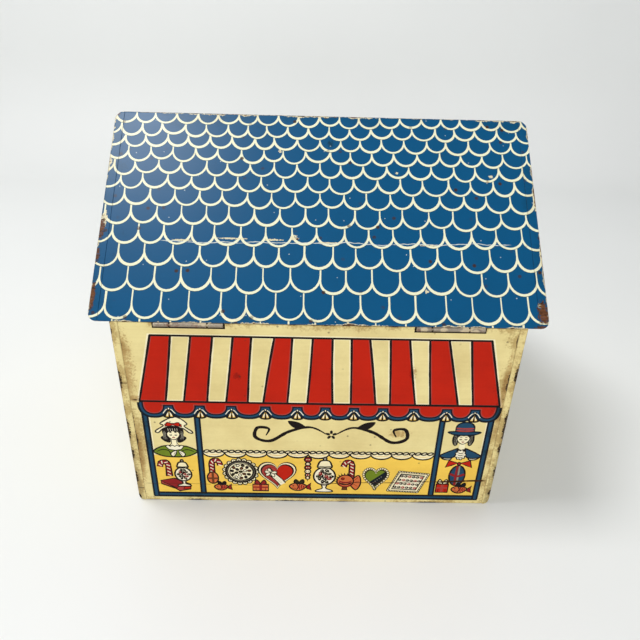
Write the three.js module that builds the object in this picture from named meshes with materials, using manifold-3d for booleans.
import * as THREE from "three";
import { mergeVertices } from "three/addons/utils/BufferGeometryUtils.js";
import Module from "manifold-3d";

// A house-shaped wooden money box. Four walls stand round a base board, the rear slope
// of the roof is nailed down and has the coin slot, and the front slope is a flap that
// turns forward on two small butt hinges let into the top edge of the front wall.
//
// Millimetres, +X to the right, +Y to the back, +Z up. The origin lies on the ground
// under the middle of the whole box, with the hinge barrels that stand proud in front.

const wasm = await Module();
wasm.setup();

// ---------------------------------------------------------------- driving dimensions

const WIDTH = 182; // across the side walls
const DEPTH = 166; // front wall face to back wall face
const EAVE = 108; // ground to the lower edge of the roof's top face
const PITCH = 40; // degrees

const WALL = 8; // thickness of the front and back walls
const SIDE_WALL = 7.5; // thickness of the gabled side walls
const TONGUE = 3.5; // what a side wall's rabbet leaves in front of a wall's end
const BASE = 6; // thickness of the base board
const BOTTOM_ROUND = 2.8; // radius of the long lower edges of the box

const ROOF = 7; // thickness of the roof boards
const SIDE_OVERHANG = 9.5; // roof past the side walls
const RIDGE_GAP = 0.6; // between the flap and the rear board at the ridge
const STRIP = 4.3; // width of the strips glued to the roof boards' ends
const STRIP_ROUND = 4; // radius of the strips' outer corners

const BATTEN_WIDTH = 14; // ridge batten, front to back
const BATTEN_SIDE = 8; // height of the batten's upright sides

const SLOT_LENGTH = 38; // coin slot, left to right
const SLOT_WIDTH = 4.8; // coin slot, front to back, sawn plumb
const SLOT_FROM_RIDGE = 40; // ridge line to the middle of the slot, level

const HINGE_LENGTH = 30;
const HINGE_INSET = 19; // side of the box to the near end of a hinge
const MIDDLE_KNUCKLE = 15.5;
const KNUCKLE_GAP = 0.8;
const BARREL_R = 0.95;
const PIN_R = 0.45;
const SHEET = 0.5; // thickness of the leaves
const LEAF_EDGE = 2; // screw centre to the leaf's back edge
const AXIS_OUT = 0.2; // hinge axis in front of the wall's face

const SCREW_SPACING = 19; // between a leaf's two screws
const SCREW_HEAD_R = 1.1;
const SCREW_HEAD = 0.35;
const SCREW_R = 0.5;
const SCREW_LENGTH = 3; // under the head
const SCREW_COVER = 0.8; // wood left over the tip in the thin edge of the flap

const NAIL_HEAD_R = 1.2;
const NAIL_HEAD = 0.5;
const NAIL_R = 0.6;
const NAIL_LENGTH = 16; // under the head
const NAIL_INSET = 24; // eave or ridge to a nail, along the slope

// Clearances.
const FIT = 0.3; // glue line under the roof, and the play round nails and in notches
const BARREL_CLEAR = 0.1; // leaf's outer face past the barrel
const BORE_CLEAR = 0.12; // knuckle bore round the pin
const HOLE_CLEAR = 0.2; // screw holes round their screws

// ------------------------------------------------------------------ worked-out sizes

const RAD = Math.PI / 180;
const SLOPE = Math.tan(PITCH * RAD);
const COS = Math.cos(PITCH * RAD);
const SIN = Math.sin(PITCH * RAD);

const FRONT = (AXIS_OUT + BARREL_R - DEPTH) / 2; // front wall's face
const BACK = FRONT + DEPTH;
const RIDGE_Y = (FRONT + BACK) / 2;
const SIDE_X = WIDTH / 2;
const INNER_X = SIDE_X - SIDE_WALL;
const ROOF_X = SIDE_X + SIDE_OVERHANG;
const BOARD_X = ROOF_X - STRIP;
const WALL_TOP = EAVE - FIT;

const LEAF_FACE = BARREL_R + BARREL_CLEAR; // hinge axis to the outer face of a leaf
const AXIS_Y = FRONT - AXIS_OUT;
const AXIS_Z = EAVE - LEAF_FACE;
const NOTCH_FLOOR = AXIS_Z - LEAF_FACE;
const HINGE_X = SIDE_X - HINGE_INSET - HINGE_LENGTH / 2;
const OUTER_KNUCKLE = (HINGE_LENGTH - MIDDLE_KNUCKLE) / 2 - KNUCKLE_GAP;

const SCREW_HOLE_R = SCREW_R + HOLE_CLEAR;
const SCREW_HOLE = SCREW_LENGTH - SHEET + FIT; // depth in the wood
const SCREW_Y = FRONT + (SCREW_HOLE + SCREW_COVER) / SLOPE + SCREW_HOLE_R;
const LEAF_BACK = SCREW_Y + LEAF_EDGE;

// Height of the roof's top face, and of the line the walls under it are cut to.
const roofTop = (y) => EAVE + (DEPTH / 2 - Math.abs(y - RIDGE_Y)) * SLOPE;
const roofBed = (y) => roofTop(y) - (ROOF + FIT) / COS;

// -------------------------------------------------------------------------- materials

const finish = (color, roughness, metalness = 0) =>
  new THREE.MeshStandardMaterial({ color, roughness, metalness });
const CREAM = finish(0xddcf98, 0.55);
const BLUE = finish(0x1f57a0, 0.45);
const RAW_WOOD = finish(0xb98f5e, 0.8);
const STEEL = finish(0xa59c8b, 0.5, 0.8);

// ---------------------------------------------------------------------- shape helpers

// A closed geometry as a manifold-3d solid, and back.
function solid(geometry) {
  const bare = geometry.clone();
  bare.deleteAttribute("normal");
  bare.deleteAttribute("uv");
  const merged = mergeVertices(bare, 1e-4);
  return new wasm.Manifold(
    new wasm.Mesh({
      numProp: 3,
      vertProperties: new Float32Array(merged.attributes.position.array),
      triVerts: new Uint32Array(merged.index.array),
    }),
  );
}

function geometryOf(made) {
  const mesh = made.getMesh();
  const geometry = new THREE.BufferGeometry();
  geometry.setAttribute("position", new THREE.BufferAttribute(mesh.vertProperties, 3));
  geometry.setIndex(new THREE.BufferAttribute(mesh.triVerts, 1));
  geometry.computeVertexNormals();
  return geometry;
}

// An outline of [y, z] points extruded from x0 to x1.
function prismX(points, x0, x1) {
  const shape = new THREE.Shape(points.map(([y, z]) => new THREE.Vector2(y, z)));
  const geometry = new THREE.ExtrudeGeometry(shape, { depth: x1 - x0, bevelEnabled: false });
  const alongX = new THREE.Matrix4().makeBasis(
    new THREE.Vector3(0, 1, 0),
    new THREE.Vector3(0, 0, 1),
    new THREE.Vector3(1, 0, 0),
  );
  geometry.applyMatrix4(alongX);
  geometry.translate(x0, 0, 0);
  return solid(geometry);
}

// A box from its lowest to its highest corner.
function block([x0, y0, z0], [x1, y1, z1]) {
  const geometry = new THREE.BoxGeometry(x1 - x0, y1 - y0, z1 - z0);
  geometry.translate((x0 + x1) / 2, (y0 + y1) / 2, (z0 + z1) / 2);
  return solid(geometry);
}

// A cylinder along X between two x values, or along Z between two heights.
function barX(radius, x0, x1, y, z, sides = 20) {
  const geometry = new THREE.CylinderGeometry(radius, radius, x1 - x0, sides);
  geometry.rotateZ(-Math.PI / 2);
  geometry.translate((x0 + x1) / 2, y, z);
  return solid(geometry);
}

function barZ(radius, z0, z1, x, y, sides = 14) {
  const geometry = new THREE.CylinderGeometry(radius, radius, z1 - z0, sides);
  geometry.rotateX(Math.PI / 2);
  geometry.translate(x, y, (z0 + z1) / 2);
  return solid(geometry);
}

// A headed fastener pointing down, with the underside of its head at the origin.
function fastener(headR, headHeight, shankR, length) {
  const profile = [
    [0, -length],
    [shankR, -length + shankR * 2],
    [shankR, 0],
    [headR, 0],
    [headR, headHeight * 0.5],
    [headR * 0.7, headHeight],
    [0, headHeight],
  ];
  const geometry = new THREE.LatheGeometry(
    profile.map(([r, h]) => new THREE.Vector2(r, h)),
    14,
  );
  geometry.rotateX(Math.PI / 2);
  return geometry;
}

const box = new THREE.Group();

function add(name, shape, material, parent = box) {
  const geometry = shape.isBufferGeometry ? shape : geometryOf(shape);
  const mesh = new THREE.Mesh(geometry, material);
  mesh.name = name;
  parent.add(mesh);
  return mesh;
}

const SIDES = [
  ["left", -1],
  ["right", 1],
];

// ------------------------------------------------------------------------- base board

add(
  "base_board",
  block([-INNER_X, FRONT + WALL, 0], [INNER_X, BACK - WALL, BASE]),
  RAW_WOOD,
);

// ------------------------------------------------------------- fasteners and their holes

// Each leaf has two screws: the wall's point down, the flap's point up.
function leafScrewXs(hingeX) {
  return [hingeX - SCREW_SPACING / 2, hingeX + SCREW_SPACING / 2];
}

// The four nails stand square to the rear slope, over the middle of a side wall.
const slopeLength = DEPTH / 2 / COS;
const nails = SIDES.flatMap(([side, sign]) =>
  [NAIL_INSET, slopeLength - NAIL_INSET].map((up, row) => ({
    name: `rear_roof_nail_${side}_${row + 1}`,
    place: new THREE.Matrix4()
      .makeRotationX(-PITCH * RAD)
      .setPosition(sign * (SIDE_X - SIDE_WALL / 2), BACK - up * COS, EAVE + up * SIN),
  })),
);

function nailHole({ place }) {
  const shank = barZ(NAIL_R + FIT, -NAIL_LENGTH - NAIL_HEAD - FIT, 1, 0, 0);
  const head = barZ(NAIL_HEAD_R + FIT, -NAIL_HEAD - FIT, 1, 0, 0);
  return shank.add(head).transform(place.elements);
}

const nailHoles = nails.map(nailHole);
const cutAll = (body, cutters) => cutters.reduce((rest, cutter) => rest.subtract(cutter), body);

// ------------------------------------------------------------------------------ walls

// The gabled side wall's outline, from the front round by the ridge.
const shoulder = ((ROOF + FIT) / COS - FIT) / SLOPE;
const gable = [
  [FRONT, 0],
  [BACK, 0],
  [BACK, WALL_TOP],
  [BACK - shoulder, WALL_TOP],
  [RIDGE_Y, roofBed(RIDGE_Y)],
  [FRONT + shoulder, WALL_TOP],
  [FRONT, WALL_TOP],
];

// What the rounded lower edge takes off a side wall: a corner with a hollow quarter round.
function lowerEdgeCutter(sign) {
  const shape = new THREE.Shape();
  shape.moveTo(SIDE_X - BOTTOM_ROUND, -1);
  shape.lineTo(SIDE_X + 1, -1);
  shape.lineTo(SIDE_X + 1, BOTTOM_ROUND);
  shape.lineTo(SIDE_X, BOTTOM_ROUND);
  shape.absarc(SIDE_X - BOTTOM_ROUND, BOTTOM_ROUND, BOTTOM_ROUND, 0, -Math.PI / 2, true);
  shape.closePath();
  const depth = DEPTH + 2;
  const geometry = new THREE.ExtrudeGeometry(shape, {
    depth,
    bevelEnabled: false,
    curveSegments: 6,
  });
  geometry.rotateX(Math.PI / 2);
  geometry.translate(0, BACK + 1, 0);
  const cutter = solid(geometry);
  return sign > 0 ? cutter : cutter.mirror([1, 0, 0]);
}

for (const [side, sign] of SIDES) {
  const inner = sign * INNER_X;
  const outer = sign * SIDE_X;
  const rabbet = sign * (SIDE_X - TONGUE);
  const rabbets = [FRONT - 1, BACK - WALL].map((y) =>
    block(
      [Math.min(inner - sign, rabbet), y, -1],
      [Math.max(inner - sign, rabbet), y + WALL + 1, EAVE],
    ),
  );
  const board = prismX(gable, Math.min(inner, outer), Math.max(inner, outer));
  add(
    `${side}_side_wall`,
    cutAll(board, [...rabbets, lowerEdgeCutter(sign), ...nailHoles]),
    CREAM,
  );
}

const wallEnd = SIDE_X - TONGUE;
const hingeNotches = SIDES.map(([, sign]) => {
  const reach = HINGE_LENGTH / 2 + FIT;
  const x = sign * HINGE_X;
  return block([x - reach, FRONT - 1, NOTCH_FLOOR], [x + reach, FRONT + WALL + 1, EAVE]);
});
const wallScrewHoles = SIDES.flatMap(([, sign]) =>
  leafScrewXs(sign * HINGE_X).map((x) =>
    barZ(SCREW_HOLE_R, NOTCH_FLOOR - SCREW_HOLE, EAVE, x, SCREW_Y),
  ),
);
add(
  "front_wall",
  cutAll(block([-wallEnd, FRONT, 0], [wallEnd, FRONT + WALL, WALL_TOP]), [
    ...hingeNotches,
    ...wallScrewHoles,
  ]),
  CREAM,
);
add("back_wall", block([-wallEnd, BACK - WALL, 0], [wallEnd, BACK, WALL_TOP]), CREAM);

// ------------------------------------------------------------------------------- roof

const bevel = ROOF / SIN; // level cut at the eave
const ridgeHalf = RIDGE_GAP / 2;
const rise = ROOF / COS;

// One slope's outline: level cut at the eave, plumb cut at the ridge.
function slopeOutline(sign) {
  const eave = RIDGE_Y + (sign * DEPTH) / 2;
  const ridge = RIDGE_Y + sign * ridgeHalf;
  const points = [
    [eave, EAVE],
    [ridge, roofTop(ridge)],
    [ridge, roofTop(ridge) - rise],
    [eave - sign * bevel, EAVE],
  ];
  return sign < 0 ? points.reverse() : points;
}

// The strip on the flap's right end, with its two outer corners rounded in the board's plane.
function flapRightStrip() {
  const r = Math.min(STRIP_ROUND, STRIP);
  const length = slopeLength - ridgeHalf / COS;
  const shape = new THREE.Shape();
  shape.moveTo(BOARD_X - 1, 0);
  shape.lineTo(ROOF_X - r, 0);
  shape.absarc(ROOF_X - r, r, r, -Math.PI / 2, 0, false);
  shape.lineTo(ROOF_X, length - r);
  shape.absarc(ROOF_X - r, length - r, r, 0, Math.PI / 2, false);
  shape.lineTo(BOARD_X - 1, length);
  shape.closePath();
  const reach = bevel + rise;
  const geometry = new THREE.ExtrudeGeometry(shape, {
    depth: 2 * reach,
    bevelEnabled: false,
    curveSegments: 6,
  });
  geometry.translate(0, 0, -reach);
  geometry.rotateX(PITCH * RAD);
  geometry.translate(0, FRONT, EAVE);
  return prismX(slopeOutline(-1), BOARD_X, ROOF_X).intersect(solid(geometry));
}

const slotY = RIDGE_Y + SLOT_FROM_RIDGE;
const coinSlot = block(
  [-SLOT_LENGTH / 2, slotY - SLOT_WIDTH / 2, EAVE],
  [SLOT_LENGTH / 2, slotY + SLOT_WIDTH / 2, roofTop(RIDGE_Y)],
);
add(
  "rear_roof_board",
  cutAll(prismX(slopeOutline(1), -BOARD_X, BOARD_X), [coinSlot, ...nailHoles]),
  BLUE,
);

const flapScrewHoles = SIDES.flatMap(([, sign]) =>
  leafScrewXs(sign * HINGE_X).map((x) =>
    barZ(SCREW_HOLE_R, EAVE - 1, EAVE + SCREW_HOLE, x, SCREW_Y),
  ),
);
add("roof_flap", cutAll(prismX(slopeOutline(-1), -BOARD_X, BOARD_X), flapScrewHoles), BLUE);

const strip = flapRightStrip();
const rearStrip = strip.mirror([0, 1, 0]).translate([0, 2 * RIDGE_Y, 0]);
add("flap_left_strip", strip.mirror([1, 0, 0]), BLUE);
add("flap_right_strip", strip, BLUE);
add("rear_left_strip", rearStrip.mirror([1, 0, 0]), BLUE);
add("rear_right_strip", rearStrip, BLUE);

// The batten under the ridge, between the side walls.
const battenFront = RIDGE_Y - BATTEN_WIDTH / 2;
const battenBack = RIDGE_Y + BATTEN_WIDTH / 2;
const battenSideTop = roofBed(battenFront);
add(
  "ridge_batten",
  prismX(
    [
      [battenFront, battenSideTop - BATTEN_SIDE],
      [battenBack, battenSideTop - BATTEN_SIDE],
      [battenBack, battenSideTop],
      [RIDGE_Y, roofBed(RIDGE_Y)],
      [battenFront, battenSideTop],
    ],
    -INNER_X,
    INNER_X,
  ),
  RAW_WOOD,
);

for (const nail of nails) {
  const turned = new THREE.Group();
  turned.applyMatrix4(nail.place);
  box.add(turned);
  const shape = fastener(NAIL_HEAD_R, NAIL_HEAD, NAIL_R, NAIL_LENGTH);
  add(nail.name, shape, STEEL, turned).position.z = -NAIL_HEAD;
}

// ----------------------------------------------------------------------------- hinges

// One leaf with its knuckles, as it lies when the flap is shut. spans are the knuckles'
// [start, end] along X from the hinge's middle, and up is 1 for the flap's leaf.
function leaf(hingeX, spans, up) {
  const outerFace = AXIS_Z + up * LEAF_FACE;
  const innerFace = outerFace - up * SHEET;
  const low = Math.min(outerFace, innerFace);
  const high = Math.max(outerFace, innerFace);
  const clear = AXIS_Y + BARREL_R + BORE_CLEAR * 2;
  const half = HINGE_LENGTH / 2;
  let made = block([hingeX - half, clear, low], [hingeX + half, LEAF_BACK, high]);
  for (const [start, end] of spans) {
    const x0 = hingeX + start;
    const x1 = hingeX + end;
    made = made.add(barX(BARREL_R, x0, x1, AXIS_Y, AXIS_Z));
    made = made.add(block([x0, AXIS_Y, low], [x1, clear + 1, high]));
  }
  const bore = barX(PIN_R + BORE_CLEAR, hingeX - half - 1, hingeX + half + 1, AXIS_Y, AXIS_Z);
  made = made.subtract(bore);
  return cutAll(
    made,
    leafScrewXs(hingeX).map((x) => barZ(SCREW_HOLE_R, low - 1, high + 1, x, SCREW_Y)),
  );
}

const halfHinge = HINGE_LENGTH / 2;
const middleSpan = [[-MIDDLE_KNUCKLE / 2, MIDDLE_KNUCKLE / 2]];
const outerSpans = [
  [-halfHinge, -halfHinge + OUTER_KNUCKLE],
  [halfHinge - OUTER_KNUCKLE, halfHinge],
];

for (const [side, sign] of SIDES) {
  const x = sign * HINGE_X;
  add(`${side}_hinge_wall_leaf`, leaf(x, outerSpans, -1), STEEL);
  add(`${side}_hinge_flap_leaf`, leaf(x, middleSpan, 1), STEEL);
  add(`${side}_hinge_pin`, barX(PIN_R, x - halfHinge, x + halfHinge, AXIS_Y, AXIS_Z), STEEL);
  leafScrewXs(x).forEach((screwX, i) => {
    const wallScrew = add(
      `${side}_hinge_wall_screw_${i + 1}`,
      fastener(SCREW_HEAD_R, SCREW_HEAD, SCREW_R, SCREW_LENGTH),
      STEEL,
    );
    wallScrew.position.set(screwX, SCREW_Y, NOTCH_FLOOR + SHEET);
    const flapScrew = add(
      `${side}_hinge_flap_screw_${i + 1}`,
      fastener(SCREW_HEAD_R, SCREW_HEAD, SCREW_R, SCREW_LENGTH),
      STEEL,
    );
    flapScrew.rotation.x = Math.PI;
    flapScrew.position.set(screwX, SCREW_Y, EAVE - SHEET);
  });
}

export default box;
